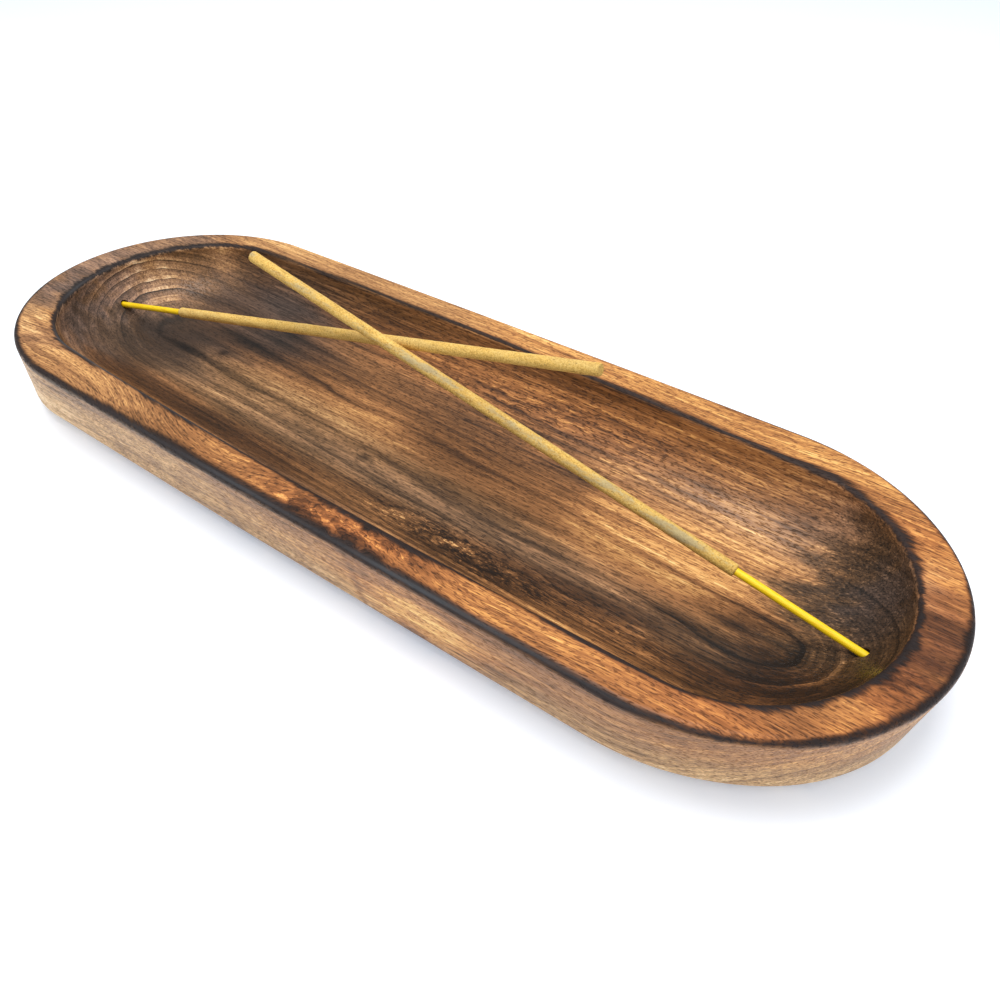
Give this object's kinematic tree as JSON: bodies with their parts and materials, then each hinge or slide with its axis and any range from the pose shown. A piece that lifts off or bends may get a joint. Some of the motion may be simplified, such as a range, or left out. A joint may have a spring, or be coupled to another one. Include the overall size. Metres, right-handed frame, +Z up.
{
  "type": "incense burner",
  "caption": "Long oval carved wooden tray with a concave well and a slanted hole in each end wall, holding incense sticks that cross above it.",
  "frame": {"origin": "centre of the tray's flat underside, on the surface that it stands on", "axes": "+X along the tray towards its right-hand hole, +Y across it towards the far side, +Z up"},
  "size_m": [0.3, 0.1046, 0.0592],
  "materials": {
    "carved_wood": "satin",
    "dyed_bamboo": "satin",
    "incense_paste": "matte"
  },
  "bodies": {
    "tray": {"tray": "carved_wood"},
    "left_stick": {"left_bamboo_core": "dyed_bamboo", "left_incense_coat": "incense_paste"},
    "right_stick": {"right_bamboo_core": "dyed_bamboo", "right_incense_coat": "incense_paste"}
  },
  "joints": [
    {"name": "left_stick_pull", "type": "slide", "parent": "tray", "child": "left_stick", "axis": [0.9758, 0.0324, 0.2164], "range_m": [0, 0.075]},
    {"name": "right_stick_pull", "type": "slide", "parent": "tray", "child": "right_stick", "axis": [-0.9763, -0.0068, 0.2164], "range_m": [0, 0.075]}
  ]
}
